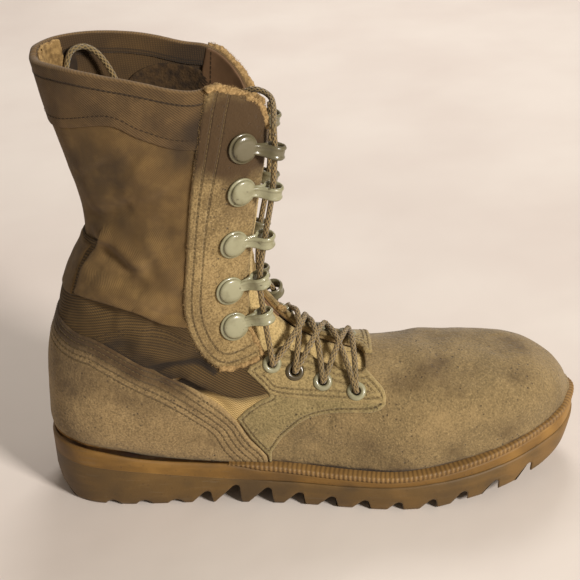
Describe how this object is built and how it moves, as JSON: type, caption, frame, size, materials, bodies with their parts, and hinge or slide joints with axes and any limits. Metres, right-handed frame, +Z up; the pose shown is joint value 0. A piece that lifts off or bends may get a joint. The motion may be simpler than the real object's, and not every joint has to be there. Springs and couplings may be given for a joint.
{
  "type": "combat boot",
  "caption": "High lace-up boot with a suede vamp, counter and facings over a canvas shaft, metal hooks and eyelets, and a ripple sole.",
  "frame": {"origin": "middle of the boot's footprint box, on the ground", "axes": "+X from heel to toe, +Y from the outer side to the inner side, +Z up"},
  "size_m": [0.313, 0.1066, 0.2676],
  "materials": {
    "suede": "rough khaki suede, fuzzy raw edges, dirt at the toe",
    "canvas": "fine woven nylon canvas and webbing",
    "tread_rubber": "matte scuffed brown rubber",
    "gum_band": "smooth ochre rubber",
    "welt": "ribbed strip, dull",
    "insole": "worn cloth",
    "tongue": "canvas with a lined back",
    "lining": "dark worn lining",
    "painted_metal": "semi-gloss pale sage paint",
    "lace": "braided round cord",
    "aglet": "dull sleeve"
  },
  "bodies": {
    "root": {"outsole": "tread_rubber", "midsole": "gum_band", "welt": "welt", "insole": "insole", "upper": "canvas", "tongue": "tongue", "heel_counter": "suede", "eyestay_lateral": "suede", "eyestay_medial": "suede", "facing_lateral": "suede", "facing_medial": "suede", "hook_lateral_1": "painted_metal", "hook_lateral_2": "painted_metal", "hook_lateral_3": "painted_metal", "hook_lateral_4": "painted_metal", "hook_lateral_5": "painted_metal", "eyelet_lateral_1": "painted_metal", "eyelet_lateral_2": "painted_metal", "eyelet_lateral_3": "painted_metal", "eyelet_lateral_4": "painted_metal", "lace_run_lateral": "lace", "hook_medial_1": "painted_metal", "hook_medial_2": "painted_metal", "hook_medial_3": "painted_metal", "hook_medial_4": "painted_metal", "hook_medial_5": "painted_metal", "eyelet_medial_1": "painted_metal", "eyelet_medial_2": "painted_metal", "eyelet_medial_3": "painted_metal", "eyelet_medial_4": "painted_metal", "lace_run_medial": "lace", "lace_crossings": "lace", "lace_end": "lace", "lace_aglet": "aglet"}
  },
  "joints": []
}
